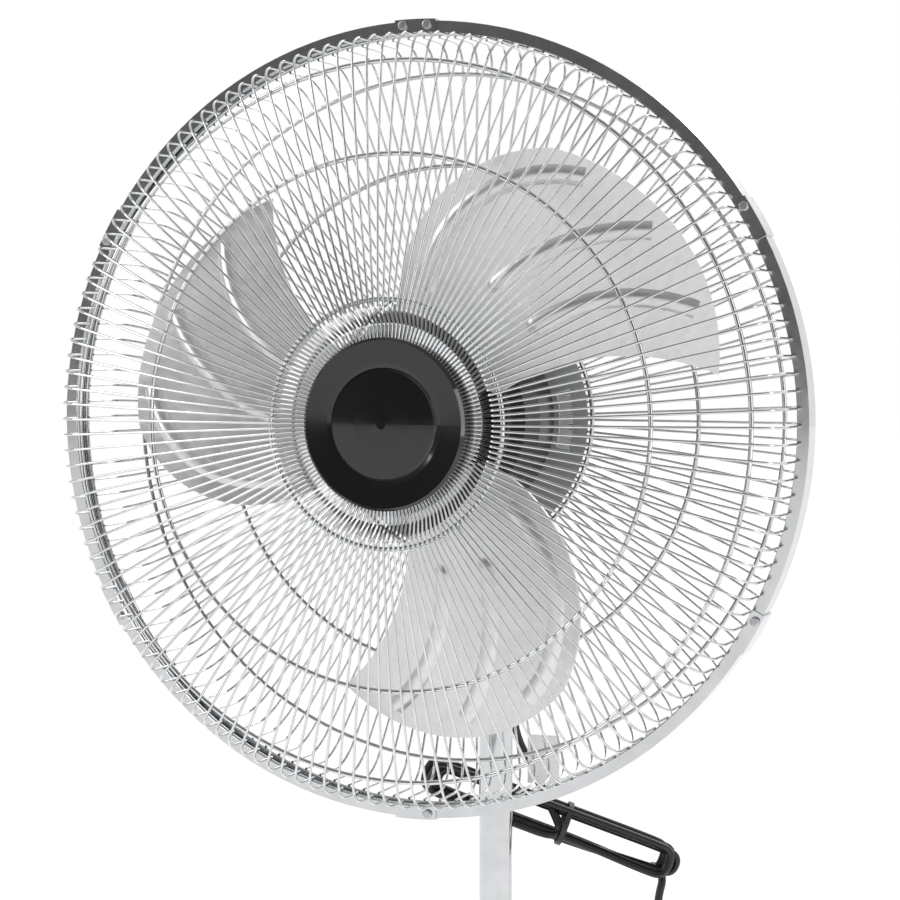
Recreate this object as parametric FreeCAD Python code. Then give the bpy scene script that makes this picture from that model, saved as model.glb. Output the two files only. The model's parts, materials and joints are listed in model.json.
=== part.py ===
"""Pedestal fan: round base, telescopic column, tilting and oscillating head, wire guard.

Origin on the floor under the column, +Z up, the fan faces -Y. Millimetres.
Head pieces are drawn about a local Z axis that points forward, with z = 0 at the
front plane of the guard rim, and are then placed by head().
"""
import FreeCAD, Part
import math
import os

V = FreeCAD.Vector

# Overall sizes
HEAD_HEIGHT = 1150.0
RIM_FRONT_Y = -163.0
BASE_RADIUS = 235.0
RIM_RADIUS = 275.0

# Clearances
SEAT = 0.02
RUN_FIT = 0.05
SLIDE_FIT = 0.08
FREE_GAP = 0.4

# Base
FOOT_HEIGHT = 6.0
FOOT_RADIUS = 14.0
FOOT_COUNT = 5
WEIGHT_THICKNESS = 14.0
COVER_WALL = 1.5
COVER_RISE = 16.0
COVER_CROWN_RADIUS = 80.0
COVER_SHOULDER = 8.0
WEIGHT_BOSS_RADIUS = 52.0
WEIGHT_MARGIN = 12.0
SOCKET_FLANGE_RADIUS = 48.0
SOCKET_FLANGE_THICKNESS = 6.0
SOCKET_HEIGHT = 70.0
SOCKET_WALL = 5.0
STUD_RADIUS = 5.0
BASE_NUT_RADIUS = 10.0
BASE_NUT_HEIGHT = 6.0

# Column
LOWER_TUBE_RADIUS = 17.0
UPPER_TUBE_RADIUS = 12.6
TUBE_WALL = 1.5
LOWER_TUBE_TOP = 610.0
UPPER_TUBE_BOTTOM = 290.0
HINGE_HEIGHT = HEAD_HEIGHT - 98.0
COLLAR_HEIGHT = 46.0
COLLAR_WALL = 5.0
COLLAR_CAP = 4.0
BUSH_LENGTH = 40.0
KNOB_RADIUS = 17.0
KNOB_LENGTH = 22.0
CLAMP_SCREW_RADIUS = 4.0
GLIDE_LENGTH = 20.0

# Control box behind the column
BOX_WIDTH = 64.0
BOX_DEPTH = 56.0
BOX_HEIGHT = 62.0
BOX_WALL = 2.5
BOX_TOP = HEAD_HEIGHT - 143.0
BOX_CLAMP_HEIGHT = 14.0
BOX_CLAMP_WALL = 2.5
SWITCH_SIZE = 24.0
SWITCH_DEPTH = 18.0
SWITCH_STEM_RADIUS = 3.0
DIAL_RADIUS = 13.0
DIAL_LENGTH = 14.0
CAPACITOR_SIZE = (46.0, 16.0, 24.0)
BOX_SCREW_RADIUS = 1.5
BOX_SCREW_HEAD_RADIUS = 3.0

# Cord
CORD_DIAMETER = 7.0
CORD_EXIT = (-8.0, 58.0)
GROMMET_RADIUS = 6.5
GROMMET_DROP = 8.0
LEAD_POINTS = [(-8, 58, 906), (6, 61, 876), (20, 62.7, 838)]
HANK_END = (106.0, 96.0, 800.0)
HANK_LEFT = (-62.0, 31.0, 868.0)
HANK_RADIUS = 16.0
TAIL_POINTS = [(106, 96, 790), (100, 94, 768), (100, 94, 744)]
PLUG_BODY = (22.0, 18.0, 32.0)
PLUG_PIN = (6.0, 1.6, 18.0)
PLUG_PIN_SPACING = 12.7
TIE_WIDTH = 4.0
LABEL_SIZE = (26.0, 0.6, 38.0)
LABEL_CORNER = (6.0, 56.3, 862.0)

# Tilt and oscillation
YOKE_RADIUS = 17.0
YOKE_SOCKET_LENGTH = 34.0
CHEEK_THICKNESS = 6.0
TONGUE_THICKNESS = 20.0
CHEEK_RADIUS = 15.0
HINGE_BOLT_RADIUS = 4.0
NECK_RADIUS = 17.0
NECK_TOP = HEAD_HEIGHT - 54.0
STUD_PIVOT_RADIUS = 7.0
BUSH_WALL = 2.0
LINK_PIN_RADIUS = 3.0
LINK_THICKNESS = 3.0
LINK_GAP = 1.0
LINK_PIN_X = -26.0
CRANK_RADIUS = 13.0
CRANK_Y = 38.0
GEARBOX_FLOOR = HEAD_HEIGHT - 40.0

# Motor, measured forward from the rim front plane
BELL_FRONT = -43.0
PLATE_THICKNESS = 1.5
SHELL_REAR = -139.0
SHELL_RADIUS = 72.0
SHELL_WALL = 2.0
PLATE_RADIUS = SHELL_RADIUS + 25.0
STATOR_LENGTH = 34.0
STATOR_BORE = 31.0
ROTOR_GAP = 0.5
SHAFT_RADIUS = 5.0
BEARING_RADIUS = 11.0
BEARING_LENGTH = 10.0
WINDING_RADIUS = 60.0
WINDING_LENGTH = 9.0
SHAFT_FRONT = 16.0

# Gearbox
GEARBOX_REAR = -236.0
GEARBOX_WIDTH = 82.0
GEARBOX_WALL = 3.0
GEARBOX_RISE = 30.0
WORM_RADIUS = 6.0
WORM_LENGTH = 20.0
WHEEL_RADIUS = 15.0
WHEEL_TEETH = 30
PINION_RADIUS = 5.0
GEAR_WIDTH = 6.0
TOOTH = 1.6
WORM_WHEEL_Y = 14.0
CRANK_TEETH = 40

# Guards
WIRE_COUNT = 144
WIRE_RADIUS = 0.9
WIRE_INSET = 9.6
SHOULDER_RADIUS = 20.0
FRONT_DOME_CREST = 62.0
FRONT_DOME_RADIUS = 1160.0
REAR_DOME_CREST = -92.2
REAR_DOME_RADIUS = 1085.0
RING_RADIUS = 1.6
OUTER_RING_AT = 245.4
MIDDLE_RING_AT = 181.7
CREST_RING_AT = 84.0
RECESS_AT = 68.0
RECESS_DEPTH = 9.0
FRONT_WIRE_END = 54.0
REAR_WIRE_END = SHELL_RADIUS + 10.0
RIM_DEPTH = 19.4
RIM_WALL = 1.2
RIM_LIP = 7.8
EDGE_RING_RADIUS = 1.8
RIM_JOINT = 0.6
CLIP_COUNT = 6
CLIP_LENGTH = 30.0
CLIP_WALL = 1.2
CLIP_SCREW_OFFSET = 9.0
CLIP_SCREW_RADIUS = 1.4
CLIP_HEAD_RADIUS = 3.2
CAP_RADIUS = 58.2
CAP_GROOVE_AT = 38.0
CAP_WALL = 2.5
CAP_PLATE_RADIUS = 62.0
CAP_PLATE_THICKNESS = 1.5
CAP_BOSS_AT = 44.0
CAP_BOSS_RADIUS = 4.0
CAP_SCREW_RADIUS = 1.5
CAP_SCREWS = 3

# Blades
BLADE_COUNT = 3
BLADE_TIP_RADIUS = 223.0
BLADE_ROOT_RADIUS = 58.0
BLADE_THICKNESS = 1.6
BLADE_PITCH = 17.0
BLADE_PLANE = -6.0
RIB_RADIUS = 8.0
RIB_HEIGHT = 3.4
SPIDER_RADIUS = 46.0
SPIDER_THICKNESS = 3.0
SPIDER_ARM_END = 92.0
SPIDER_ARM_WIDTH = 44.0
HUB_RADIUS = 14.0
HUB_LENGTH = 26.0
RIVET_CIRCLE = 80.0
RIVET_SPACING = 14.0
RIVET_RADIUS = 2.4
RIVET_HEAD_RADIUS = 4.2
RIVET_HEAD = 1.6


def dome_z(crest, dome_radius, at, side):
    """Height of a guard dome at a radius. side is +1 forward, -1 rearward."""
    return crest + side * (math.sqrt(dome_radius ** 2 - at ** 2) - dome_radius)


def rod(radius, z0, z1, x=0.0, y=0.0):
    return Part.makeCylinder(radius, z1 - z0, V(x, y, z0))


def tube(outer, inner, z0, z1, x=0.0, y=0.0):
    return rod(outer, z0, z1, x, y).cut(rod(inner, z0 - 1, z1 + 1, x, y))


def rod_along(radius, start, end):
    start, end = V(*start), V(*end)
    return Part.makeCylinder(radius, (end - start).Length, start, end - start)


def block(x0, x1, y0, y1, z0, z1):
    return Part.makeBox(x1 - x0, y1 - y0, z1 - z0, V(x0, y0, z0))


def lathe(points):
    """Turn a closed outline of (radius, z) points about Z."""
    outline = [V(r, 0, z) for r, z in points]
    face = Part.Face(Part.makePolygon(outline + outline[:1]))
    return face.revolve(V(0, 0, 0), V(0, 0, 1), 360)


def turned(shape, angle, axis=V(0, 0, 1), centre=V(0, 0, 0)):
    copy = shape.copy()
    copy.rotate(centre, axis, angle)
    return copy


def pattern(shape, count, start=0.0):
    return [turned(shape, start + 360.0 * i / count) for i in range(count)]


def cut_all(shape, tools):
    for tool in tools:
        shape = shape.cut(tool)
    return shape


def head(shape):
    """Place a piece drawn about the forward axis."""
    shape = turned(shape, 90, V(1, 0, 0))
    shape.translate(V(0, RIM_FRONT_Y, HEAD_HEIGHT))
    return shape


def save(name, shape):
    solids = shape.Solids if hasattr(shape, "Solids") else shape
    solids = list(solids)
    result = solids[0] if len(solids) == 1 else Part.Compound(solids)
    result.exportStep("parts/" + name + ".step")


def base_parts():
    weight_radius = BASE_RADIUS - WEIGHT_MARGIN
    weight_top = FOOT_HEIGHT + WEIGHT_THICKNESS
    crown = weight_top + COVER_RISE
    weight = rod(weight_radius, FOOT_HEIGHT, weight_top).fuse(rod(WEIGHT_BOSS_RADIUS, weight_top, crown - COVER_WALL))
    weight = weight.cut(rod(STUD_RADIUS + FREE_GAP, 0, crown))
    recess = rod(BASE_NUT_RADIUS + 4, 0, FOOT_HEIGHT + BASE_NUT_HEIGHT)
    save("base_weight", weight.cut(recess))
    cover_bottom = FOOT_HEIGHT - 3
    inner_radius = BASE_RADIUS - COVER_WALL
    save("base_cover", lathe([
        (BASE_RADIUS, cover_bottom),
        (BASE_RADIUS, weight_top),
        (BASE_RADIUS - COVER_SHOULDER, weight_top + 5),
        (COVER_CROWN_RADIUS, crown + SEAT),
        (STUD_RADIUS + FREE_GAP, crown + SEAT),
        (STUD_RADIUS + FREE_GAP, crown + SEAT - COVER_WALL),
        (COVER_CROWN_RADIUS, crown + SEAT - COVER_WALL),
        (inner_radius - COVER_SHOULDER, weight_top + 5 - COVER_WALL),
        (inner_radius, weight_top - 1),
        (inner_radius, cover_bottom),
    ]))
    crown += SEAT
    foot = rod(FOOT_RADIUS, 0, FOOT_HEIGHT - SEAT, weight_radius - 3 * FOOT_RADIUS / 2, 0)
    save("rubber_feet", Part.Compound(pattern(foot, FOOT_COUNT)))
    flange_top = crown + SEAT + SOCKET_FLANGE_THICKNESS
    bore = LOWER_TUBE_RADIUS + SEAT
    socket = rod(SOCKET_FLANGE_RADIUS, crown + SEAT, flange_top)
    socket = socket.fuse(rod(bore + SOCKET_WALL, flange_top - 1, flange_top + SOCKET_HEIGHT))
    socket = socket.cut(rod(bore, flange_top, flange_top + SOCKET_HEIGHT + 1))
    save("pole_socket", socket.cut(rod(STUD_RADIUS, crown - 1, crown + SEAT + 5)).removeSplitter())
    nut_bottom = FOOT_HEIGHT + BASE_NUT_HEIGHT
    nut = rod(BASE_NUT_RADIUS, FOOT_HEIGHT + 0.5, nut_bottom - SEAT)
    save("base_bolt", nut.fuse(rod(STUD_RADIUS - SEAT, nut_bottom - 1, crown + SEAT + 4.9)))
    return flange_top


def column_parts(socket_floor):
    inner = LOWER_TUBE_RADIUS - TUBE_WALL
    top = LOWER_TUBE_TOP + COLLAR_CAP
    collar_outer = LOWER_TUBE_RADIUS + COLLAR_WALL
    collar = tube(collar_outer, LOWER_TUBE_RADIUS + SEAT, top - COLLAR_HEIGHT, LOWER_TUBE_TOP + SEAT)
    collar = collar.fuse(tube(collar_outer, UPPER_TUBE_RADIUS + 0.5, LOWER_TUBE_TOP + SEAT, top))
    clamp_z = LOWER_TUBE_TOP - COLLAR_HEIGHT / 2
    clamp_hole = rod_along(CLAMP_SCREW_RADIUS + RUN_FIT, (0, 0, clamp_z), (-60, 0, clamp_z))
    boss = rod_along(9, (-collar_outer + 1, 0, clamp_z), (-collar_outer - 8, 0, clamp_z))
    collar = collar.fuse(boss).cut(rod(LOWER_TUBE_RADIUS + SEAT, 0, LOWER_TUBE_TOP + SEAT))
    save("height_collar", collar.cut(clamp_hole).removeSplitter())
    lower = tube(LOWER_TUBE_RADIUS, inner, socket_floor + SEAT, LOWER_TUBE_TOP)
    save("lower_tube", lower.cut(clamp_hole))
    bush = tube(inner - SEAT, UPPER_TUBE_RADIUS + SLIDE_FIT, LOWER_TUBE_TOP - BUSH_LENGTH, LOWER_TUBE_TOP)
    save("collar_bush", bush.cut(clamp_hole))
    knob_x = -collar_outer - 11
    knob = rod_along(KNOB_RADIUS, (knob_x, 0, clamp_z), (knob_x - KNOB_LENGTH, 0, clamp_z))
    for i in range(8):
        angle = math.radians(45.0 * i)
        y, z = KNOB_RADIUS * math.cos(angle), clamp_z + KNOB_RADIUS * math.sin(angle)
        knob = knob.cut(rod_along(3, (knob_x + 1, y, z), (knob_x - KNOB_LENGTH - 1, y, z)))
    screw = rod_along(CLAMP_SCREW_RADIUS, (knob_x - 1, 0, clamp_z), (-UPPER_TUBE_RADIUS - 0.35, 0, clamp_z))
    save("height_knob", knob.fuse(screw).removeSplitter())
    upper_top = HINGE_HEIGHT - CHEEK_RADIUS - 8
    save("upper_tube", tube(UPPER_TUBE_RADIUS, UPPER_TUBE_RADIUS - TUBE_WALL, UPPER_TUBE_BOTTOM, upper_top))
    glide_top = UPPER_TUBE_BOTTOM - SEAT
    glide = rod(inner - SLIDE_FIT, glide_top - GLIDE_LENGTH, glide_top)
    plug = rod(UPPER_TUBE_RADIUS - TUBE_WALL - SEAT, glide_top - 1, glide_top + 15)
    save("tube_glide", glide.fuse(plug))
    return upper_top


def yoke_parts(upper_top):
    half_gap = TONGUE_THICKNESS / 2 + 0.1
    outer = half_gap + CHEEK_THICKNESS
    yoke = rod(YOKE_RADIUS, upper_top - YOKE_SOCKET_LENGTH, upper_top + 6)
    yoke = yoke.cut(rod(UPPER_TUBE_RADIUS + SEAT, 0, upper_top + SEAT))
    for side in (-1, 1):
        x0, x1 = sorted((side * half_gap, side * outer))
        cheek = block(x0, x1, -CHEEK_RADIUS + 1, CHEEK_RADIUS - 1, upper_top + 5, HINGE_HEIGHT)
        cheek = cheek.fuse(rod_along(CHEEK_RADIUS - 1, (x0, 0, HINGE_HEIGHT), (x1, 0, HINGE_HEIGHT)))
        yoke = yoke.fuse(cheek)
    bolt_hole = rod_along(HINGE_BOLT_RADIUS + RUN_FIT, (-60, 0, HINGE_HEIGHT), (60, 0, HINGE_HEIGHT))
    save("tilt_yoke", yoke.cut(bolt_hole).removeSplitter())
    tongue = rod_along(CHEEK_RADIUS - 1, (-TONGUE_THICKNESS / 2, 0, HINGE_HEIGHT),
                       (TONGUE_THICKNESS / 2, 0, HINGE_HEIGHT))
    stem = block(-TONGUE_THICKNESS / 2, TONGUE_THICKNESS / 2, -CHEEK_RADIUS + 1, CHEEK_RADIUS - 1,
                 HINGE_HEIGHT, HINGE_HEIGHT + CHEEK_RADIUS + 6)
    cup_bottom = HINGE_HEIGHT + CHEEK_RADIUS + 4
    neck = tongue.fuse(stem).fuse(rod(NECK_RADIUS, cup_bottom, NECK_TOP))
    arm = block(LINK_PIN_X - 6, 0, -6, 6, NECK_TOP - 14, NECK_TOP - 8)
    neck = neck.fuse(arm).cut(rod(STUD_PIVOT_RADIUS + BUSH_WALL, cup_bottom + 3, NECK_TOP + 1))
    neck = neck.cut(rod(LINK_PIN_RADIUS, NECK_TOP - 20, NECK_TOP, LINK_PIN_X, 0))
    save("tilt_neck", neck.cut(bolt_hole).removeSplitter())
    save("swivel_bush", tube(STUD_PIVOT_RADIUS + BUSH_WALL - SEAT, STUD_PIVOT_RADIUS + RUN_FIT,
                             cup_bottom + 3 + SEAT, NECK_TOP))
    pin_top = NECK_TOP + LINK_GAP + LINK_THICKNESS + 0.5
    pin = rod(LINK_PIN_RADIUS - SEAT, NECK_TOP - 14, pin_top, LINK_PIN_X, 0)
    save("link_pin", pin)
    knob_x = outer + 1.0
    knob = rod_along(KNOB_RADIUS, (knob_x, 0, HINGE_HEIGHT), (knob_x + KNOB_LENGTH, 0, HINGE_HEIGHT))
    for i in range(8):
        angle = math.radians(45.0 * i)
        y, z = KNOB_RADIUS * math.cos(angle), HINGE_HEIGHT + KNOB_RADIUS * math.sin(angle)
        knob = knob.cut(rod_along(3, (knob_x - 1, y, z), (knob_x + KNOB_LENGTH + 1, y, z)))
    bolt = rod_along(HINGE_BOLT_RADIUS, (-outer - 6, 0, HINGE_HEIGHT), (knob_x + 1, 0, HINGE_HEIGHT))
    bolt_head = rod_along(8, (-outer - 6, 0, HINGE_HEIGHT), (-outer - 0.4, 0, HINGE_HEIGHT))
    save("tilt_knob", knob.fuse(bolt).fuse(bolt_head).removeSplitter())


def control_box_parts():
    y0 = YOKE_RADIUS + 0.5
    y1 = y0 + BOX_DEPTH
    middle = (y0 + y1) / 2
    z0, z1 = BOX_TOP - BOX_HEIGHT, BOX_TOP
    half = BOX_WIDTH / 2
    centre_z = (z0 + z1) / 2
    outer = block(-half, half, y0, y1, z0, z1)
    outer = outer.makeFillet(5, [e for e in outer.Edges if abs(e.tangentAt(0).y) > 0.9])
    cavity = block(-half + BOX_WALL, half - BOX_WALL, y0 + BOX_WALL, y1 - BOX_WALL, z0 + BOX_WALL, z1 - BOX_WALL)
    shell = outer.cut(cavity)
    screws = []
    posts = []
    for side in (-1, 1):
        x = side * (half - 8)
        z = z1 - 8
        posts.append(rod_along(4, (x, y0 + 1, z), (x, y1 - BOX_WALL + 1, z)))
        shank = rod_along(BOX_SCREW_RADIUS, (x, middle - 12, z), (x, y1 + 1, z))
        screws.append(shank.fuse(rod_along(BOX_SCREW_HEAD_RADIUS, (x, y1 + SEAT, z), (x, y1 + 2, z))))
    shell = shell.fuse(posts[0]).fuse(posts[1])
    holes = [rod_along(BOX_SCREW_RADIUS, (s * (half - 8), middle - 12, z1 - 8),
                       (s * (half - 8), y1 + 1, z1 - 8)) for s in (-1, 1)]
    shell = cut_all(shell, holes)
    cord_x, cord_y = CORD_EXIT
    shell = shell.cut(rod(GROMMET_RADIUS - 1.5, z0 - 1, z0 + BOX_WALL + 1, cord_x, cord_y))
    stem_hole = rod_along(SWITCH_STEM_RADIUS + 0.3, (0, y1 - BOX_WALL - 1, centre_z), (0, y1 + 1, centre_z))
    shell = shell.cut(stem_hole)
    front_half = block(-half - 1, half + 1, y0 - 1, middle - SEAT / 2, z0 - 1, z1 + 1)
    rear_half = block(-half - 1, half + 1, middle + SEAT / 2, y1 + 1, z0 - 1, z1 + 1)
    save("control_box_front", shell.common(front_half))
    save("control_box_rear", shell.common(rear_half))
    save("control_box_screws", Part.Compound(screws))
    switch_rear = y1 - BOX_WALL - SEAT
    size = SWITCH_SIZE / 2
    switch = block(-size, size, switch_rear - SWITCH_DEPTH, switch_rear, centre_z - size, centre_z + size)
    stem_bore = rod_along(SWITCH_STEM_RADIUS + RUN_FIT, (0, switch_rear - 8, centre_z), (0, y1, centre_z))
    save("speed_switch", switch.cut(stem_bore))
    dial = rod_along(DIAL_RADIUS, (0, y1 + 0.5, centre_z), (0, y1 + DIAL_LENGTH, centre_z))
    grip = block(-DIAL_RADIUS, DIAL_RADIUS, y1 + DIAL_LENGTH - 8, y1 + DIAL_LENGTH + 1, centre_z - 3, centre_z + 3)
    rim_zone = rod_along(DIAL_RADIUS, (0, y1 + DIAL_LENGTH - 8, centre_z), (0, y1 + DIAL_LENGTH, centre_z))
    dial = dial.cut(rim_zone.cut(grip))
    stem = rod_along(SWITCH_STEM_RADIUS, (0, switch_rear - 7.5, centre_z), (0, y1 + 1, centre_z))
    save("speed_knob", dial.fuse(stem).removeSplitter())
    length, depth, height = CAPACITOR_SIZE
    floor = z0 + BOX_WALL + SEAT
    can_y = y0 + BOX_WALL + SEAT
    save("capacitor", block(-length / 2, length / 2, can_y, can_y + depth, floor, floor + height))
    band_z = centre_z - BOX_CLAMP_HEIGHT / 2
    band = tube(UPPER_TUBE_RADIUS + BOX_CLAMP_WALL, UPPER_TUBE_RADIUS + SEAT, band_z, band_z + BOX_CLAMP_HEIGHT)
    pad = block(-12, 12, UPPER_TUBE_RADIUS - 2, y0 - SEAT, band_z, band_z + BOX_CLAMP_HEIGHT)
    pad = pad.cut(rod(UPPER_TUBE_RADIUS + SEAT, band_z - 1, band_z + BOX_CLAMP_HEIGHT + 1))
    save("box_clamp", band.fuse(pad).removeSplitter())
    grommet = tube(GROMMET_RADIUS, CORD_DIAMETER / 2, z0 - GROMMET_DROP, z0 - SEAT, cord_x, cord_y)
    collar = tube(GROMMET_RADIUS - 1.5 - SEAT, CORD_DIAMETER / 2, z0 - 1, z0 + BOX_WALL, cord_x, cord_y)
    save("cord_grommet", grommet.fuse(collar))
    return z0


def rounded_tube(points, radius):
    """A tube through straight runs joined by tangent arcs."""
    corners = [V(*p) for p in points]
    edges = []
    here = corners[0]
    for before, corner, after in zip(corners, corners[1:], corners[2:]):
        back, ahead = before - corner, after - corner
        half_turn = (math.pi - back.getAngle(ahead)) / 2
        trim = 0.45 * min(back.Length, ahead.Length)
        print("cord bend radius", round(trim / math.tan(half_turn), 1))
        start = corner + back.normalize() * trim
        end = corner + ahead.normalize() * trim
        bisector = (back + ahead).normalize()
        reach = trim / math.tan(half_turn)
        middle = corner + bisector * (math.hypot(reach, trim) - reach)
        edges.append(Part.makeLine(here, start))
        edges.append(Part.Arc(start, middle, end).toShape())
        here = end
    edges.append(Part.makeLine(here, corners[-1]))
    path = Part.Wire(edges)
    face = Part.Face(Part.Wire(Part.makeCircle(radius, corners[0], corners[1] - corners[0])))
    pipe = path.makePipeShell([face.OuterWire], True, False)
    print("cord length", round(path.Length, 1), "volume ratio",
          round(pipe.Volume / (path.Length * math.pi * radius ** 2), 3))
    return pipe


def cord_parts(box_bottom):
    lead_points = [(CORD_EXIT[0], CORD_EXIT[1], box_bottom - GROMMET_DROP - SEAT)] + LEAD_POINTS
    lead = rounded_tube(lead_points, CORD_DIAMETER / 2)
    left, right = V(*HANK_LEFT), V(*HANK_END)
    along = (right - left).normalize()
    hank = Part.makeCylinder(HANK_RADIUS, (right - left).Length, left, along)
    hank = hank.fuse(Part.makeSphere(HANK_RADIUS, left)).fuse(Part.makeSphere(HANK_RADIUS, right))
    save("cord_lead", lead.cut(hank))
    tail = rounded_tube(TAIL_POINTS, CORD_DIAMETER / 2)
    middle = (left + right) * 0.5
    tie = Part.makeCylinder(HANK_RADIUS + 1.5, TIE_WIDTH, middle + along * 10, along)
    tie = tie.cut(Part.makeCylinder(HANK_RADIUS + SEAT, TIE_WIDTH + 2, middle + along * 9, along))
    save("cord_tie", tie)
    save("cord_hank", hank.fuse(tail).removeSplitter())
    width, depth, height = PLUG_BODY
    x, y, top = TAIL_POINTS[-1]
    top -= SEAT
    plug = block(x - width / 2, x + width / 2, y - depth / 2, y + depth / 2, top - height, top)
    plug = plug.makeFillet(4, plug.Edges)
    pin_width, pin_thickness, pin_length = PLUG_PIN
    for side in (-1, 1):
        pin_x = x + side * PLUG_PIN_SPACING / 2
        plug = plug.fuse(block(pin_x - pin_thickness / 2, pin_x + pin_thickness / 2, y - pin_width / 2,
                               y + pin_width / 2, top - height - pin_length, top - height + 3))
    save("mains_plug", plug)
    wide, thick, tall = LABEL_SIZE
    label_x, label_y, label_z = LABEL_CORNER
    save("cord_label", block(label_x, label_x + wide, label_y, label_y + thick, label_z, label_z + tall))


def motor_parts():
    inner = SHELL_RADIUS - SHELL_WALL
    plate_rear = dome_z(REAR_DOME_CREST, REAR_DOME_RADIUS, PLATE_RADIUS, -1) + WIRE_RADIUS + SEAT
    plate_front = plate_rear + PLATE_THICKNESS
    seat_front = plate_front + SEAT
    seat_rear = plate_rear - SEAT
    bell = lathe([(SHAFT_RADIUS + 1.5, BELL_FRONT - SHELL_WALL), (inner - 8, BELL_FRONT - SHELL_WALL - 4),
                  (inner, BELL_FRONT - SHELL_WALL - 12), (inner, seat_front), (SHELL_RADIUS, seat_front),
                  (SHELL_RADIUS, BELL_FRONT - 11), (SHELL_RADIUS - 8, BELL_FRONT - 3),
                  (54, BELL_FRONT - 1.5), (52, BELL_FRONT + 1), (50, BELL_FRONT - 1), (SHAFT_RADIUS + 1.5, BELL_FRONT)])
    bearing_front = BELL_FRONT - SHELL_WALL - 1.5
    bearing_rear = bearing_front - BEARING_LENGTH
    bell = bell.fuse(tube(BEARING_RADIUS + 2.5, BEARING_RADIUS, bearing_rear, BELL_FRONT - SHELL_WALL))
    vent = rod(3.2, BELL_FRONT - 8, BELL_FRONT + 3, 40, 0)
    vent = vent.fuse(block(28, 40, -3.2, 3.2, BELL_FRONT - 8, BELL_FRONT + 3))
    bell = cut_all(bell, pattern(vent.fuse(rod(3.2, BELL_FRONT - 8, BELL_FRONT + 3, 28, 0)), 12))
    save("motor_shell_front", head(bell.removeSplitter()))
    rear_bearing_front = SHELL_REAR + SHELL_WALL + BEARING_LENGTH + 1.5
    shell = lathe([(SHAFT_RADIUS + 1.5, SHELL_REAR), (SHELL_RADIUS - 10, SHELL_REAR), (SHELL_RADIUS, SHELL_REAR + 10),
                   (SHELL_RADIUS, seat_rear), (inner, seat_rear), (inner, SHELL_REAR + 10.8),
                   (SHELL_RADIUS - 10.8, SHELL_REAR + SHELL_WALL), (SHAFT_RADIUS + 1.5, SHELL_REAR + SHELL_WALL)])
    shell = shell.fuse(tube(BEARING_RADIUS + 2.5, BEARING_RADIUS, SHELL_REAR + SHELL_WALL - 0.5, rear_bearing_front))
    slots = block(48, SHELL_RADIUS - 14, -2.5, 2.5, SHELL_REAR - 1, SHELL_REAR + SHELL_WALL + 1)
    shell = cut_all(shell, pattern(slots, 16, 11.25))
    save("motor_shell_rear", head(shell.removeSplitter()))
    stator_front = seat_rear - 1
    stator_rear = stator_front - STATOR_LENGTH
    stator = tube(inner - SEAT, STATOR_BORE, stator_rear, stator_front)
    slot = rod(4.5, stator_rear - 1, stator_front + 1, STATOR_BORE + 8, 0)
    save("stator_core", head(cut_all(stator, pattern(slot, 16))))
    coil = tube(WINDING_RADIUS, STATOR_BORE + 3, stator_front + SEAT, stator_front + WINDING_LENGTH)
    coil_rear = tube(WINDING_RADIUS, STATOR_BORE + 3, stator_rear - WINDING_LENGTH + 2, stator_rear - SEAT)
    save("stator_windings", head(Part.Compound([coil, coil_rear])))
    bearing = tube(BEARING_RADIUS - SEAT, SHAFT_RADIUS + RUN_FIT, bearing_rear, bearing_front)
    save("front_bearing", head(bearing))
    low = SHELL_REAR + SHELL_WALL + 1.5
    save("rear_bearing", head(tube(BEARING_RADIUS - SEAT, SHAFT_RADIUS + RUN_FIT, low, low + BEARING_LENGTH)))
    rotor = tube(STATOR_BORE - ROTOR_GAP, SHAFT_RADIUS + SEAT, stator_rear, stator_front)
    save("rotor_core", head(rotor))
    plate = tube(PLATE_RADIUS, SHELL_RADIUS - 6, plate_rear, plate_front)
    sector = lathe([(SHELL_RADIUS + 4, plate_rear - 1), (SHELL_RADIUS + 14, plate_rear - 1),
                    (SHELL_RADIUS + 14, plate_front + 1), (SHELL_RADIUS + 4, plate_front + 1)])
    wedge = Part.Face(Part.makePolygon([V(0, 0, plate_rear - 2), V(120, -32, plate_rear - 2),
                                        V(120, 32, plate_rear - 2), V(0, 0, plate_rear - 2)]))
    arc_slot = sector.common(wedge.extrude(V(0, 0, 6)))
    save("guard_plate", head(cut_all(plate, pattern(arc_slot, 4))))


def gear(radius, teeth, z0, z1, x, y, bore):
    """A toothed wheel with straight-sided teeth."""
    wheel = rod(radius - TOOTH, z0, z1)
    width = math.pi * radius / teeth
    tooth = block(radius - TOOTH - 0.5, radius, -width / 2, width / 2, z0, z1)
    wheel = wheel.multiFuse(pattern(tooth, teeth)).cut(rod(bore, z0 - 1, z1 + 1))
    wheel.translate(V(x, y, 0))
    return wheel.removeSplitter()


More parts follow.
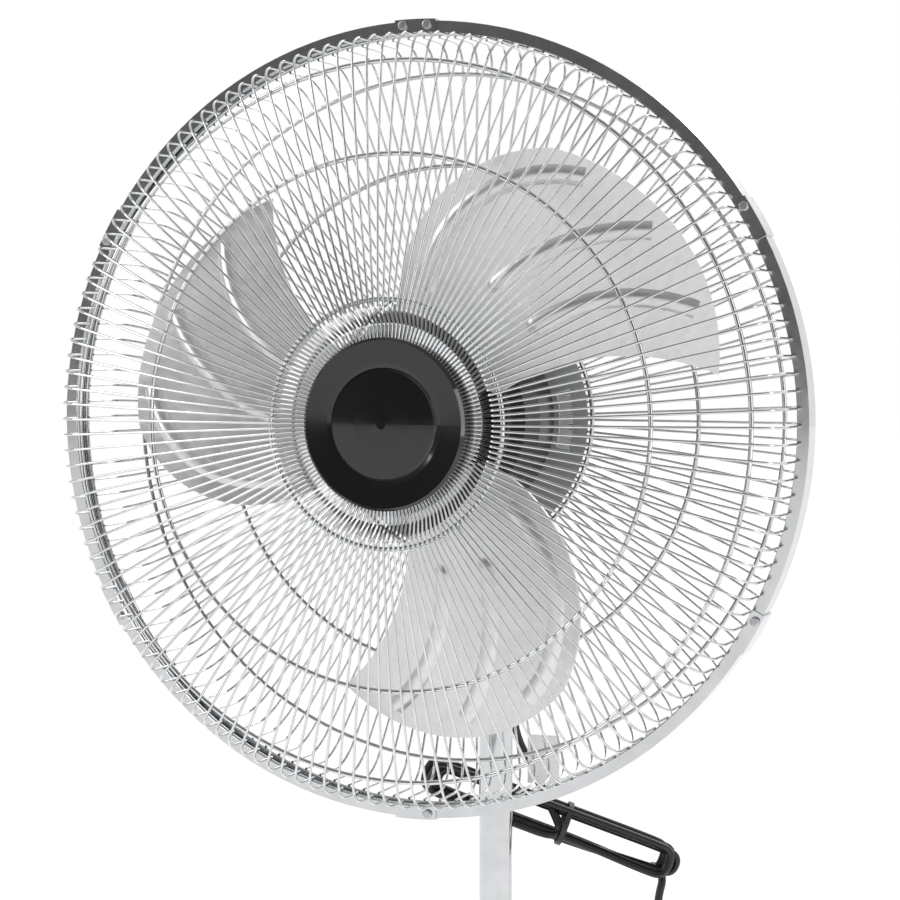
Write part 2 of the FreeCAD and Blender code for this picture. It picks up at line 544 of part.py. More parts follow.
def gearbox_parts():
    y0 = RIM_FRONT_Y - SHELL_REAR + SEAT
    y1 = RIM_FRONT_Y - GEARBOX_REAR
    half = GEARBOX_WIDTH / 2
    top = HEAD_HEIGHT + GEARBOX_RISE
    wall = GEARBOX_WALL
    split = top - 12
    body = block(-half, half, y0, y1, GEARBOX_FLOOR, top)
    edges = [e for e in body.Edges if abs(e.tangentAt(0).z) > 0.9 and e.CenterOfMass.y > y1 - 1]
    body = body.makeFillet(14, edges)
    hollow = block(-half + wall, half - wall, y0 + wall, y1 - wall, GEARBOX_FLOOR + wall, top - wall)
    hollow = hollow.makeFillet(11, [e for e in hollow.Edges
                                    if abs(e.tangentAt(0).z) > 0.9 and e.CenterOfMass.y > y1 - wall - 1])
    shell = body.cut(hollow)
    case = shell.common(block(-90, 90, -90, 90, GEARBOX_FLOOR - 1, split - SEAT / 2))
    cover = shell.common(block(-90, 90, -90, 90, split + SEAT / 2, top + 1))
    worm_x = -(WORM_RADIUS + WHEEL_RADIUS + 0.4)
    shaft_hole = rod_along(SHAFT_RADIUS + 1, (0, y0 - 1, HEAD_HEIGHT), (0, y0 + wall + 1, HEAD_HEIGHT))
    stud_bottom = NECK_TOP - 14
    stud = rod(STUD_PIVOT_RADIUS, stud_bottom, GEARBOX_FLOOR + 1)
    shoulder = rod(STUD_PIVOT_RADIUS + 1.5, NECK_TOP + SEAT, GEARBOX_FLOOR + 1)
    crank_hole = rod(4 + RUN_FIT, GEARBOX_FLOOR - 1, GEARBOX_FLOOR + wall + 1, 0, CRANK_Y)
    axle_x, axle_y = worm_x, WORM_WHEEL_Y
    axle = rod(2.5, GEARBOX_FLOOR + wall - 1, HEAD_HEIGHT + 5, axle_x, axle_y)
    case = case.fuse(stud).fuse(shoulder).fuse(axle).cut(shaft_hole).cut(crank_hole)
    plunger_hole = rod(3 + RUN_FIT, split - 1, top + 1, axle_x, axle_y)
    cover = cover.cut(plunger_hole)
    screw_spots = [(-half + 6, y0 + 6), (half - 6, y0 + 6), (0, y1 - 6)]
    bosses = [rod(5, split - 16, split - SEAT / 2, x, y).common(body) for x, y in screw_spots]
    holes = [rod(1.5, split - 13, top + 1, x, y) for x, y in screw_spots]
    heads = [rod(1.5 - SEAT, split - 12, top + 1, x, y).fuse(rod(3, top + SEAT, top + 2, x, y))
             for x, y in screw_spots]
    cover_posts = [rod(5, split + SEAT / 2, top - 1, x, y).common(body) for x, y in screw_spots]
    case = cut_all(case.multiFuse(bosses), holes)
    cover = cut_all(cover.multiFuse(cover_posts), holes)
    save("gearbox_case", case.removeSplitter())
    save("gearbox_cover", cover.removeSplitter())
    knob = rod(3, HEAD_HEIGHT + 12, top + 3, axle_x, axle_y)
    knob = knob.fuse(rod(9, top + 2.5, top + 16, axle_x, axle_y))
    save("oscillation_knob", knob)
    wheel = gear(WHEEL_RADIUS, WHEEL_TEETH, HEAD_HEIGHT - 3, HEAD_HEIGHT + 3, axle_x, axle_y, 2.5 + RUN_FIT)
    pinion_top = HEAD_HEIGHT - 2.5
    pinion_bottom = GEARBOX_FLOOR + GEARBOX_WALL + 1
    pinion = gear(PINION_RADIUS, 8, pinion_bottom, pinion_top, axle_x, axle_y, 2.5 + RUN_FIT)
    save("worm_wheel", wheel.fuse(pinion).removeSplitter())
    distance = math.hypot(axle_x, CRANK_Y - axle_y)
    crank_gear_radius = distance - PINION_RADIUS - 0.4
    low = GEARBOX_FLOOR + wall + 1
    crank = gear(crank_gear_radius, CRANK_TEETH, low, low + GEAR_WIDTH, 0, CRANK_Y, 1)
    crank = crank.fuse(rod(4, GEARBOX_FLOOR - 5, low + 1, 0, CRANK_Y))
    crank = crank.fuse(rod(CRANK_RADIUS + 4, GEARBOX_FLOOR - 5, GEARBOX_FLOOR - 1, 0, CRANK_Y))
    crank = crank.fuse(rod(2.5, GEARBOX_FLOOR - 8, GEARBOX_FLOOR - 4, -CRANK_RADIUS, CRANK_Y))
    save("crank_gear", crank.removeSplitter())
    link_low = NECK_TOP + LINK_GAP
    start, end = V(LINK_PIN_X, 0, link_low), V(-CRANK_RADIUS, CRANK_Y, link_low)
    along = end - start
    bar = block(0, along.Length, -4, 4, 0, LINK_THICKNESS)
    bar = bar.fuse(rod(6.5, 0, LINK_THICKNESS)).fuse(rod(6.5, 0, LINK_THICKNESS, along.Length, 0))
    bar = bar.cut(rod(LINK_PIN_RADIUS + RUN_FIT, -1, 9)).cut(rod(3.2, -1, 9, along.Length, 0))
    bar.rotate(V(0, 0, 0), V(0, 0, 1), math.degrees(math.atan2(along.y, along.x)))
    bar.translate(start)
    save("link_arm", bar.removeSplitter())
    return heads


def shaft_part():
    shaft_rear = SHELL_REAR - 50
    shaft = rod(SHAFT_RADIUS, shaft_rear, SHAFT_FRONT)
    worm_centre = -WORM_WHEEL_Y + RIM_FRONT_Y
    worm = rod(WORM_RADIUS, worm_centre - WORM_LENGTH / 2, worm_centre + WORM_LENGTH / 2)
    groove = lathe([(WORM_RADIUS - 1, -0.6), (WORM_RADIUS + 1, -1.2), (WORM_RADIUS + 1, 1.2), (WORM_RADIUS - 1, 0.6)])
    for i in range(5):
        cutter = groove.copy()
        cutter.translate(V(0, 0, worm_centre + (i - 2) * 3.1))
        worm = worm.cut(cutter)
    save("motor_shaft", head(shaft.fuse(worm).removeSplitter()))


def wire_path(crest, dome_radius, inner_at, side, recess):
    """One guard wire from the rim to its inner end. side is +1 forward, -1 rearward."""
    outer_at = RIM_RADIUS - WIRE_INSET
    centre_z = crest - side * dome_radius
    rim_z = -4.0 if side > 0 else -RIM_DEPTH + 4.0
    reach = dome_radius - SHOULDER_RADIUS
    shoulder_r = outer_at - SHOULDER_RADIUS
    shoulder_z = centre_z + side * math.sqrt(reach ** 2 - shoulder_r ** 2)

    def dome_point(radius):
        return V(radius, 0, centre_z + side * math.sqrt(dome_radius ** 2 - radius ** 2))

    centre = V(shoulder_r, 0, shoulder_z)
    outward = (centre - V(0, 0, centre_z)).normalize()
    touch = centre + outward * SHOULDER_RADIUS
    middle = centre + (outward + V(1, 0, 0)).normalize() * SHOULDER_RADIUS
    corner = V(outer_at, 0, shoulder_z)
    edges = [Part.makeLine(V(outer_at, 0, rim_z), corner), Part.Arc(corner, middle, touch).toShape()]
    last = dome_point(CREST_RING_AT if recess else inner_at)
    edges.append(Part.Arc(touch, dome_point((touch.x + last.x) / 2), last).toShape())
    if recess:
        slope = last.x / math.sqrt(dome_radius ** 2 - last.x ** 2)
        tangent = V(-1, 0, side * slope).normalize()
        corner_a = last + tangent * 6
        corner_b = V(RECESS_AT, 0, corner_a.z - side * RECESS_DEPTH)
        end = V(inner_at, 0, corner_b.z)
        here = last
        for corner, after in ((corner_a, corner_b), (corner_b, end)):
            back, ahead = (here - corner).normalize(), (after - corner).normalize()
            half_turn = (math.pi - back.getAngle(ahead)) / 2
            trim = 3.0 * math.tan(half_turn)
            start, stop = corner + back * trim, corner + ahead * trim
            bisector = (back + ahead).normalize()
            middle = corner + bisector * (math.hypot(3.0, trim) - 3.0)
            edges.append(Part.makeLine(here, start))
            edges.append(Part.Arc(start, middle, stop).toShape())
            here = stop
        edges.append(Part.makeLine(here, end))
        last = end
    return Part.Wire(edges), centre_z, outer_at, rim_z, last.z


def ring(radius, section, z):
    return Part.makeTorus(radius, section, V(0, 0, z), V(0, 0, 1))


def guard(name, crest, dome_radius, inner_at, side, recess, ring_radii):
    path, centre_z, outer_at, rim_z, inner_z = wire_path(crest, dome_radius, inner_at, side, recess)
    circle = Part.Wire(Part.makeCircle(WIRE_RADIUS, V(outer_at, 0, rim_z), V(0, 0, 1)))
    wire = path.makePipeShell([circle], True, False)
    save(name, head(Part.Compound(pattern(wire, WIRE_COUNT))))
    rings = []
    inside = dome_radius - WIRE_RADIUS - RING_RADIUS - SEAT
    for radius in ring_radii:
        at = radius * inside / dome_radius
        z = centre_z + side * math.sqrt(inside ** 2 - at ** 2)
        rings.append(ring(at, RING_RADIUS, z))
    edge_at = outer_at + WIRE_RADIUS + EDGE_RING_RADIUS + SEAT
    lip = RIM_WALL + EDGE_RING_RADIUS + SEAT
    rings.append(ring(edge_at, EDGE_RING_RADIUS, -lip if side > 0 else lip - RIM_DEPTH))
    save(name.replace("guard", "rings"), head(Part.Compound(rings)))
    return inner_z


def clip_angles():
    return [30.0 + 360.0 * i / CLIP_COUNT for i in range(CLIP_COUNT)]


def screw_spots():
    """Screw angles on the rim: one per clip and a second one at the top."""
    step = math.degrees(CLIP_SCREW_OFFSET / RIM_RADIUS)
    return [angle + step for angle in clip_angles()] + [90.0 - step]


def rim_parts():
    outer = RIM_RADIUS
    web = outer - RIM_WALL
    lip = outer - RIM_LIP
    section = [(outer, 0), (lip, 0), (lip, -RIM_WALL), (web, -RIM_WALL), (web, RIM_WALL - RIM_DEPTH),
               (lip, RIM_WALL - RIM_DEPTH), (lip, -RIM_DEPTH), (outer, -RIM_DEPTH)]
    screw_at = web - CLIP_SCREW_RADIUS - 0.3
    hole = rod(CLIP_SCREW_RADIUS + 0.1, -RIM_DEPTH - 5, 5, screw_at, 0)
    holes = [turned(hole, angle) for angle in screw_spots()]
    joint = block(lip - 5, outer + 5, -RIM_JOINT / 2, RIM_JOINT / 2, -RIM_DEPTH - 1, 1)
    joints = [turned(joint, angle) for angle in clip_angles()]
    save("guard_rim", head(cut_all(lathe(section), joints + holes)))
    leg = outer + SEAT
    wrap = leg + CLIP_WALL
    clip_section = [(wrap, SEAT + CLIP_WALL), (lip, SEAT + CLIP_WALL), (lip, SEAT), (leg, SEAT),
                    (leg, -RIM_DEPTH - SEAT), (lip, -RIM_DEPTH - SEAT),
                    (lip, -RIM_DEPTH - SEAT - CLIP_WALL), (wrap, -RIM_DEPTH - SEAT - CLIP_WALL)]
    window = block(lip - 5, wrap + 5, -CLIP_LENGTH / 2, CLIP_LENGTH / 2, -RIM_DEPTH - 5, 5)
    clip = lathe(clip_section).common(window)
    clips = [turned(clip, angle) for angle in clip_angles()]
    save("guard_clips", head(Part.Compound([cut_all(c, holes) for c in clips])))
    head_base = 2 * SEAT + CLIP_WALL
    shank_end = -RIM_DEPTH - CLIP_WALL - 3.5
    screw = rod(CLIP_SCREW_RADIUS, shank_end, head_base + 1, screw_at, 0)
    pan = rod(CLIP_HEAD_RADIUS, head_base, head_base + 2.2, screw_at, 0)
    screw = screw.fuse(pan.makeFillet(0.9, [pan.Edges[0]]))
    nut_top = -RIM_DEPTH - CLIP_WALL - 2 * SEAT
    nut = tube(3.0, CLIP_SCREW_RADIUS, nut_top - 2.2, nut_top, screw_at, 0)
    save("clip_screws", head(Part.Compound([turned(piece, a) for a in screw_spots() for piece in (screw, nut)])))


def cap_parts(wire_z):
    seat = wire_z + WIRE_RADIUS + SEAT
    front = seat + 9.5
    cap = lathe([(0, front - CAP_WALL + 0.6), (CAP_GROOVE_AT - 3, front - CAP_WALL - 0.8),
                 (CAP_RADIUS - CAP_WALL, front - CAP_WALL - 1), (CAP_RADIUS - CAP_WALL, seat),
                 (CAP_RADIUS, seat), (CAP_RADIUS, front - 2), (CAP_RADIUS - 2, front),
                 (CAP_GROOVE_AT + 3, front - 1.2), (CAP_GROOVE_AT, front - 2), (CAP_GROOVE_AT - 1.5, front - 0.2),
                 (20, front + 1.6), (0, front + 2.2)])
    bosses = rod(CAP_BOSS_RADIUS, seat - WIRE_RADIUS, front - CAP_WALL, CAP_BOSS_AT, 0)
    cap = cap.multiFuse(pattern(bosses, CAP_SCREWS))
    plate_front = wire_z - WIRE_RADIUS - SEAT
    plate_rear = plate_front - CAP_PLATE_THICKNESS
    pilot = rod(CAP_SCREW_RADIUS, plate_rear - 1, front - CAP_WALL - 1, CAP_BOSS_AT, 0)
    save("front_cap", head(cut_all(cap, pattern(pilot, CAP_SCREWS)).removeSplitter()))
    plate = rod(CAP_PLATE_RADIUS, plate_rear, plate_front)
    save("cap_plate", head(cut_all(plate, pattern(pilot, CAP_SCREWS))))
    screw = rod(CAP_SCREW_RADIUS - SEAT, plate_rear - 1, front - CAP_WALL - 2, CAP_BOSS_AT, 0)
    screw = screw.fuse(rod(2 * CAP_SCREW_RADIUS, plate_rear - 2, plate_rear - SEAT, CAP_BOSS_AT, 0))
    return [head(s) for s in pattern(screw, CAP_SCREWS)]


def polar(radius, angle, z=0.0):
    angle = math.radians(angle)
    return V(radius * math.cos(angle), radius * math.sin(angle), z)


def blade_rib(start, middle, end):
    """A raised rib with a round nose, pressed forward out of the sheet."""
    z = BLADE_THICKNESS + RIB_HEIGHT - RIB_RADIUS
    points = [polar(radius, angle, z) for radius, angle in (start, middle, end)]
    path = Part.Wire(Part.Arc(*points).toShape())
    circle = Part.Wire(Part.makeCircle(RIB_RADIUS, points[0], path.Edges[0].tangentAt(path.Edges[0].FirstParameter)))
    rib = path.makePipeShell([circle], True, False).fuse(Part.makeSphere(RIB_RADIUS, points[0]))
    return rib.common(block(0, 300, -300, 300, 0.1, 20))


def blade_part():
    """A wide swept paddle, flat, with its ribs. Its arm lies along X."""
    tip = BLADE_TIP_RADIUS
    lead_root, trail_root = polar(BLADE_ROOT_RADIUS, 44), polar(BLADE_ROOT_RADIUS, -32)
    lead_tip, trail_tip = polar(tip - 12, 12), polar(tip - 14, -42)
    outline = Part.Wire([
        Part.makeLine(trail_root, lead_root),
        Part.Arc(lead_root, polar(0.66 * tip, 35), lead_tip).toShape(),
        Part.Arc(lead_tip, polar(tip, -14), trail_tip).toShape(),
        Part.Arc(trail_tip, polar(0.54 * tip, -30), trail_root).toShape(),
    ])
    sheet = Part.Face(outline).extrude(V(0, 0, BLADE_THICKNESS))
    sheet = sheet.fuse(blade_rib((96, 34), (0.70 * tip, 24), (tip - 18, 4)))
    sheet = sheet.fuse(blade_rib((0.50 * tip, 8), (0.72 * tip, -1), (tip - 14, -12)))
    return sheet.fuse(blade_rib((0.48 * tip, -12), (0.70 * tip, -18), (tip - 16, -29))).removeSplitter()


def blade_parts():
    pitch_axis = V(1, 0, 0)
    hub_front = 14.0
    arm = block(0, SPIDER_ARM_END, -SPIDER_ARM_WIDTH / 2, SPIDER_ARM_WIDTH / 2, -SPIDER_THICKNESS, 0)
    arm = arm.cut(rod(SPIDER_RADIUS - 8, -9, 9))
    blade = blade_part()
    blade.translate(V(0, 0, SEAT))
    rivet_hole = [rod(RIVET_RADIUS, -9, 9, RIVET_CIRCLE, RIVET_SPACING * k) for k in (-1, 0, 1)]
    blade, arm = cut_all(blade, rivet_hole), cut_all(arm, rivet_hole)
    rivets = []
    for k in (-1, 0, 1):
        y = RIVET_SPACING * k
        shank = rod(RIVET_RADIUS - SEAT, -SPIDER_THICKNESS - 0.5, BLADE_THICKNESS + 0.5, RIVET_CIRCLE, y)
        front_head = rod(RIVET_HEAD_RADIUS, BLADE_THICKNESS + 2 * SEAT, BLADE_THICKNESS + RIVET_HEAD, RIVET_CIRCLE, y)
        back_head = rod(RIVET_HEAD_RADIUS, -SPIDER_THICKNESS - RIVET_HEAD, -SPIDER_THICKNESS - SEAT, RIVET_CIRCLE, y)
        rivets.append(shank.fuse(front_head).fuse(back_head))

    def pitched(shape):
        tilted = turned(shape, BLADE_PITCH, pitch_axis)
        tilted.translate(V(0, 0, BLADE_PLANE))
        return tilted

    arms = [turned(pitched(arm), 50 + 120 * i) for i in range(BLADE_COUNT)]
    disc = tube(SPIDER_RADIUS, SHAFT_RADIUS + SEAT, BLADE_PLANE - SPIDER_THICKNESS, BLADE_PLANE)
    hub = tube(HUB_RADIUS, SHAFT_RADIUS + SEAT, hub_front - HUB_LENGTH, hub_front)
    spider = disc.fuse(hub).multiFuse(arms)
    set_hole = rod_along(2, (0, 0, 8), (0, 30, 8))
    save("blade_spider", head(spider.cut(rod(SHAFT_RADIUS + SEAT, -40, 40)).cut(set_hole).removeSplitter()))
    set_screw = rod_along(2 - SEAT, (0, SHAFT_RADIUS + SEAT, 8), (0, HUB_RADIUS + 2, 8))
    save("hub_set_screw", head(set_screw))
    for i in range(BLADE_COUNT):
        save("blade_%d" % (i + 1), head(turned(pitched(blade), 50 + 120 * i)))
    save("blade_rivets", head(Part.Compound([turned(pitched(r), 50 + 120 * i)
                                             for i in range(BLADE_COUNT) for r in rivets])))


def main():
    os.makedirs("parts", exist_ok=True)
    socket_floor = base_parts()
    upper_top = column_parts(socket_floor)
    yoke_parts(upper_top)
    box_bottom = control_box_parts()
    cord_parts(box_bottom)
    motor_parts()
    gearbox_screws = gearbox_parts()
    shaft_part()
    cap_seat = guard("front_guard", FRONT_DOME_CREST, FRONT_DOME_RADIUS, FRONT_WIRE_END, 1, True,
                     [OUTER_RING_AT, MIDDLE_RING_AT, CREST_RING_AT])
    guard("rear_guard", REAR_DOME_CREST, REAR_DOME_RADIUS, REAR_WIRE_END, -1, False,
          [OUTER_RING_AT, MIDDLE_RING_AT, PLATE_RADIUS + 4])
    rim_parts()
    cap_screws = cap_parts(cap_seat)
    save("head_screws", Part.Compound(gearbox_screws + cap_screws))
    blade_parts()


main()
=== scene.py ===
"""Looks of the pedestal fan: materials, the free cord, studio and camera. Metres."""

import json
import math

import bpy
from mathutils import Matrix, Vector


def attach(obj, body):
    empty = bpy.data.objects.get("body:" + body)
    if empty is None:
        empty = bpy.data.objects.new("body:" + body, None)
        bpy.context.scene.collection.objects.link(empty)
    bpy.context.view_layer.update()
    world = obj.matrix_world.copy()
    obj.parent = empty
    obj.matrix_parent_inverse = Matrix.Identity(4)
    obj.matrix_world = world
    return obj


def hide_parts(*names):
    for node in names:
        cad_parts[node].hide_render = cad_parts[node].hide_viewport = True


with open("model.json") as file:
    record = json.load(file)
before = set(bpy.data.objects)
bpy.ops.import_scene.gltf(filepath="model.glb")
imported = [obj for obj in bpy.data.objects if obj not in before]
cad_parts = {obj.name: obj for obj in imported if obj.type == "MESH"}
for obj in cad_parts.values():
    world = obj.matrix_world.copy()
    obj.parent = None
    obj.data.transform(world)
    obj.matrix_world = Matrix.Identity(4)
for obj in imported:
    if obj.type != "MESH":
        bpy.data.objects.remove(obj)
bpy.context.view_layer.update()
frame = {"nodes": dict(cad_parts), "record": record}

# Camera, measured from the centre of the guard hoop's front face
CAMERA_TURN = 20.94
CAMERA_TILT = 2.53
CAMERA_DISTANCE = 1.657
CAMERA_LENS = 96.0
SENSOR_WIDTH = 36.0
SIGHT_LIMIT = 50.0
HOOP_RIGHT = -0.0235
HOOP_BELOW = -0.0194
HOOP = Vector((0, -0.163, 1.150))

# Cord: the lead and tail follow listed points, the turns of the hank are worked out
CORD_DIAMETER = 0.007
CORD_THICKNESS = 0.0056
CORD_GROOVE = 0.10
GROOVE_SHARPNESS = 3
SECTION_STEPS = 20
CORD_RESOLUTION = 6
LEAD = [(-0.008, 0.058, 0.937), (-0.008, 0.058, 0.906), (0.006, 0.061, 0.876), (0.020, 0.0627, 0.850)]
TAIL = [(0.106, 0.096, 0.790), (0.100, 0.094, 0.768), (0.100, 0.094, 0.742)]
HANK_LEFT = Vector((-0.062, 0.031, 0.868))
HANK_RIGHT = Vector((0.106, 0.096, 0.800))
HANK_WIDTHS = (0.0115, 0.0085, 0.0120, 0.0095)
HANK_SPACING = 0.0062
HANK_INSET = 0.004
HANK_STAGGER = (0.000, 0.006, -0.004, 0.003)
TURN_SHAPE = [(0.2, -1), (-0.4, -1), (-0.92, -1), (-1.07, -0.9), (-1.07, 0.9), (-0.92, 1), (-0.4, 1),
              (0.2, 1), (0.9, 1), (1.07, 0.9), (1.07, -0.9), (0.9, -1)]

# Finishes
COAT_ROUGHNESS = 0.05
LEAST_ROUGHNESS = 0.02
NOISE_DETAIL = 4.0
TONE_RANGE = (0.3, 0.7)
BUMP_DEPTH = 0.0005

# Studio: each light has a name, a place, a size and a power in watts, and points at the hoop
FLOOR_SIZE = 60.0
FLOOR_GLOW = 0.45
WORLD_FRONT = 0.14
WORLD_BACK = 0.95
WORLD_FADE = (-0.9, 0.5)
LIGHTS = [
    ("key", (-1.9, -1.5, 2.3), (0.9, 1.6), 20),
    ("fill", (2.4, -1.2, 1.6), (0.6, 2.0), 12),
    ("back", (0.6, 2.2, 2.6), (2.0, 1.2), 22),
]


# Camera
def add_camera():
    turn, tilt = math.radians(CAMERA_TURN), math.radians(CAMERA_TILT)
    right = Vector((math.cos(turn), math.sin(turn), 0))
    ahead = Vector((-math.sin(turn) * math.cos(tilt), math.cos(turn) * math.cos(tilt), -math.sin(tilt)))
    below = ahead.cross(right)
    data = bpy.data.cameras.new("camera")
    data.lens = CAMERA_LENS
    data.sensor_width = SENSOR_WIDTH
    data.clip_end = SIGHT_LIMIT
    camera = bpy.data.objects.new("camera", data)
    camera.location = HOOP - right * HOOP_RIGHT - below * HOOP_BELOW - ahead * CAMERA_DISTANCE
    camera.rotation_euler = (math.pi / 2 - tilt, 0, turn)
    bpy.context.collection.objects.link(camera)
    bpy.context.scene.camera = camera


# Cord
def hank_points():
    """Long flat turns round the middle of the hank, each one layer behind the last."""
    along = (HANK_RIGHT - HANK_LEFT).normalized()
    depth = Vector((-along.y, along.x, 0)).normalized()
    across = along.cross(depth)
    middle = (HANK_LEFT + HANK_RIGHT) / 2
    half = (HANK_RIGHT - HANK_LEFT).length / 2
    points = []
    for turn, width in enumerate(HANK_WIDTHS):
        for step, (u, v) in enumerate(TURN_SHAPE):
            layer = turn + step / len(TURN_SHAPE) - len(HANK_WIDTHS) / 2
            reach = u * (half - HANK_INSET) + HANK_STAGGER[turn]
            points.append(middle + along * reach + across * (v * width) + depth * (layer * HANK_SPACING))
    return points


def cord_section():
    """An oval with a shallow groove along the middle of each flat side."""
    curve = bpy.data.curves.new("cord_section", "CURVE")
    curve.dimensions = "2D"
    spline = curve.splines.new("POLY")
    spline.points.add(SECTION_STEPS - 1)
    for step, point in enumerate(spline.points):
        angle = 2 * math.pi * step / SECTION_STEPS
        groove = 1 - CORD_GROOVE * (1 - abs(math.cos(angle))) ** GROOVE_SHARPNESS
        x = CORD_DIAMETER / 2 * math.cos(angle)
        y = CORD_THICKNESS / 2 * math.sin(angle) * groove
        point.co = (x, y, 0, 1)
    spline.use_cyclic_u = True
    section = bpy.data.objects.new("cord_section", curve)
    section.hide_render = True
    bpy.context.collection.objects.link(section)
    return section


def add_cord(black):
    """One open spline from the grommet through the hank to the plug."""
    points = [Vector(p) for p in LEAD] + hank_points() + [Vector(p) for p in TAIL]
    curve = bpy.data.curves.new("mains_cord", "CURVE")
    curve.dimensions = "3D"
    curve.resolution_u = CORD_RESOLUTION
    curve.twist_mode = "MINIMUM"
    curve.bevel_mode = "OBJECT"
    curve.bevel_object = cord_section()
    curve.use_fill_caps = True
    spline = curve.splines.new("NURBS")
    spline.points.add(len(points) - 1)
    for knot, place in zip(spline.points, points):
        knot.co = (*place, 1)
    spline.order_u = 3
    spline.use_endpoint_u = True
    curve.materials.append(black)
    cord = bpy.data.objects.new("mains_cord", curve)
    bpy.context.collection.objects.link(cord)
    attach(cord, "column")
    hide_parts("cord_lead", "cord_hank")


# Materials
def material(name, colour, metallic, roughness, grain=400.0, spread=0.08, bump=0.02, coat=0.0,
             stretch=(1, 1, 1), tint=0.06):
    """A procedural finish: fine noise varies the tone and roughness and lifts the surface slightly."""
    result = bpy.data.materials.new(name)
    result.use_nodes = True
    nodes, links = result.node_tree.nodes, result.node_tree.links
    shader = nodes["Principled BSDF"]
    shader.inputs["Metallic"].default_value = metallic
    shader.inputs["Coat Weight"].default_value = coat
    shader.inputs["Coat Roughness"].default_value = COAT_ROUGHNESS
    place = nodes.new("ShaderNodeTexCoord")
    scaling = nodes.new("ShaderNodeMapping")
    scaling.inputs["Scale"].default_value = stretch
    links.new(place.outputs["Object"], scaling.inputs["Vector"])
    noise = nodes.new("ShaderNodeTexNoise")
    noise.inputs["Scale"].default_value = grain
    noise.inputs["Detail"].default_value = NOISE_DETAIL
    links.new(scaling.outputs["Vector"], noise.inputs["Vector"])
    rough = nodes.new("ShaderNodeMapRange")
    rough.inputs["To Min"].default_value = max(LEAST_ROUGHNESS, roughness - spread)
    rough.inputs["To Max"].default_value = roughness + spread
    links.new(noise.outputs["Fac"], rough.inputs["Value"])
    links.new(rough.outputs["Result"], shader.inputs["Roughness"])
    tone = nodes.new("ShaderNodeValToRGB")
    dark = [c * (1 - tint) for c in colour]
    light = [min(1.0, c * (1 + tint)) for c in colour]
    for element, shade, position in zip(tone.color_ramp.elements, (dark, light), TONE_RANGE):
        element.color = (*shade, 1)
        element.position = position
    links.new(noise.outputs["Fac"], tone.inputs["Fac"])
    links.new(tone.outputs["Color"], shader.inputs["Base Color"])
    lift = nodes.new("ShaderNodeBump")
    lift.inputs["Strength"].default_value = bump
    lift.inputs["Distance"].default_value = BUMP_DEPTH
    links.new(noise.outputs["Fac"], lift.inputs["Height"])
    links.new(lift.outputs["Normal"], shader.inputs["Normal"])
    return result


def finishes():
    """The finish for each material slot, by the name of the slot."""
    return {
        "chrome": material("chrome", (0.62, 0.63, 0.64), 1.0, 0.12, grain=60, spread=0.05, bump=0.01),
        "black_paint": material("black_paint", (0.018, 0.018, 0.020), 0.0, 0.36, grain=900, bump=0.15,
                                coat=0.2),
        "cast_iron": material("cast_iron", (0.10, 0.10, 0.105), 0.6, 0.62, grain=700, bump=0.5, tint=0.2),
        "black_plastic": material("black_plastic", (0.022, 0.022, 0.024), 0.0, 0.48, grain=1200, bump=0.25),
        "gloss_black": material("gloss_black", (0.004, 0.004, 0.005), 0.0, 0.10, grain=90, spread=0.03,
                                bump=0.0, coat=0.3),
        "nylon": material("nylon", (0.78, 0.76, 0.70), 0.0, 0.45, grain=300, bump=0.05),
        "aluminium": material("aluminium", (0.74, 0.74, 0.73), 1.0, 0.34, grain=90, spread=0.08, bump=0.05,
                              stretch=(1, 6, 1)),
        "steel": material("steel", (0.50, 0.51, 0.53), 1.0, 0.30, grain=300, bump=0.06, stretch=(1, 1, 8)),
        "grey_paint": material("grey_paint", (0.42, 0.43, 0.44), 0.5, 0.38, grain=700, bump=0.08),
        "copper": material("copper", (0.55, 0.20, 0.07), 1.0, 0.32, grain=500, bump=0.3, stretch=(1, 8, 1)),
        "bronze": material("bronze", (0.42, 0.27, 0.12), 1.0, 0.34, grain=500, bump=0.15),
        "rubber": material("rubber", (0.018, 0.018, 0.018), 0.0, 0.75, grain=900, bump=0.3),
        "cord": material("cord", (0.010, 0.010, 0.011), 0.0, 0.34, grain=500, bump=0.15),
        "label": material("label", (0.82, 0.82, 0.80), 0.0, 0.60, grain=600, spread=0.06, bump=0.1,
                          tint=0.04),
    }


def dress(finish):
    """Give every CAD node the finish of its material slot."""
    for part in frame["record"]["subparts"]:
        mesh = frame["nodes"][part["node"]]
        for slot in mesh.material_slots:
            slot.material = finish[part["material_slot"]]


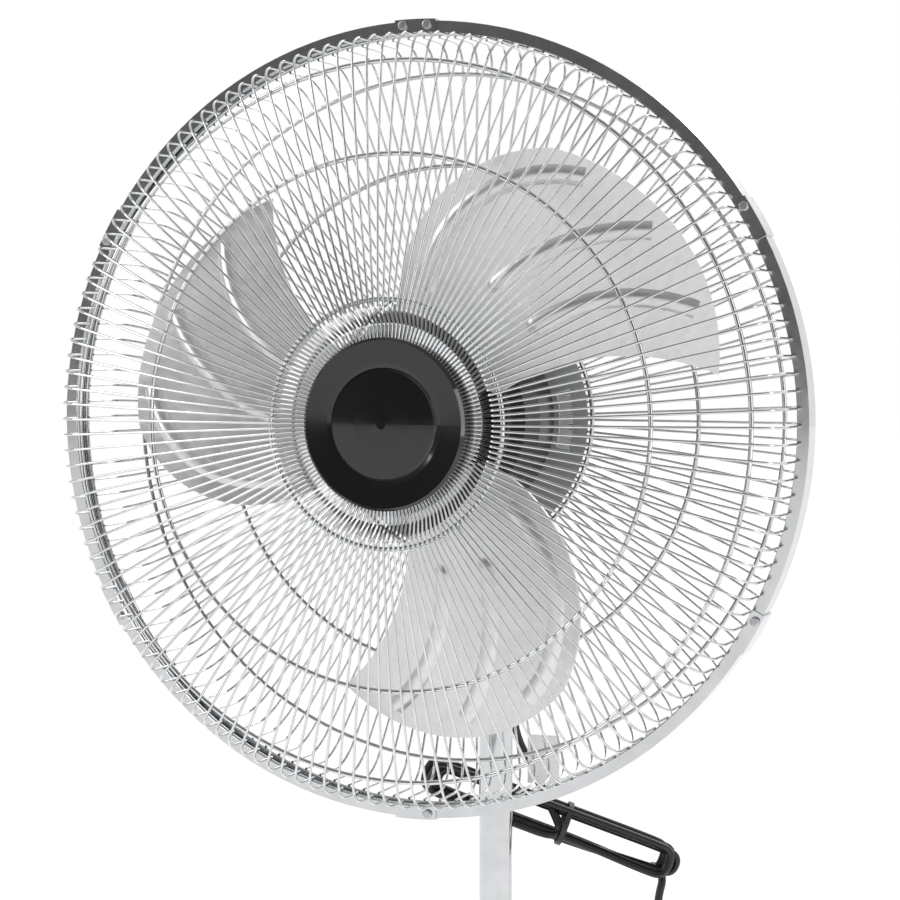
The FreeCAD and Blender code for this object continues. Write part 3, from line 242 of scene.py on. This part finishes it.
# Studio
def add_floor():
    """A pale floor with a slight glow of its own, so that it stays white to the horizon."""
    bpy.ops.mesh.primitive_plane_add(size=FLOOR_SIZE)
    floor = bpy.context.object
    floor.name = "studio_floor"
    paper = material("studio_white", (0.93, 0.93, 0.93), 0.0, 0.85, grain=40, bump=0.0, tint=0.005)
    shader = paper.node_tree.nodes["Principled BSDF"]
    shader.inputs["Emission Color"].default_value = (1, 1, 1, 1)
    shader.inputs["Emission Strength"].default_value = FLOOR_GLOW
    floor.data.materials.append(paper)


def add_light(name, place, size, power):
    data = bpy.data.lights.new(name, "AREA")
    data.shape = "RECTANGLE"
    data.size, data.size_y = size
    data.energy = power
    light = bpy.data.objects.new(name, data)
    light.location = place
    light.rotation_euler = (HOOP - Vector(place)).to_track_quat("-Z", "Y").to_euler()
    bpy.context.collection.objects.link(light)


def studio_world():
    """White to look at; what it casts is bright behind the fan and dim in front, so metal has contrast."""
    world = bpy.data.worlds.new("studio")
    world.use_nodes = True
    nodes, links = world.node_tree.nodes, world.node_tree.links
    background = nodes["Background"]
    background.inputs["Strength"].default_value = 1.0
    place = nodes.new("ShaderNodeTexCoord")
    axes = nodes.new("ShaderNodeSeparateXYZ")
    links.new(place.outputs["Generated"], axes.inputs["Vector"])
    shade = nodes.new("ShaderNodeMapRange")
    shade.inputs["From Min"].default_value, shade.inputs["From Max"].default_value = WORLD_FADE
    shade.inputs["To Min"].default_value = WORLD_FRONT
    shade.inputs["To Max"].default_value = WORLD_BACK
    links.new(axes.outputs["Y"], shade.inputs["Value"])
    seen = nodes.new("ShaderNodeLightPath")
    choice = nodes.new("ShaderNodeMix")
    choice.data_type = "FLOAT"
    choice.inputs["B"].default_value = 1.0
    links.new(seen.outputs["Is Camera Ray"], choice.inputs["Factor"])
    links.new(shade.outputs["Result"], choice.inputs["A"])
    links.new(choice.outputs["Result"], background.inputs["Color"])
    return world


def add_studio():
    add_floor()
    for name, place, size, power in LIGHTS:
        add_light(name, place, size, power)
    bpy.context.scene.world = studio_world()
    bpy.context.scene.view_settings.view_transform = "Standard"


add_camera()
finish = finishes()
add_cord(finish["cord"])
dress(finish)
add_studio()
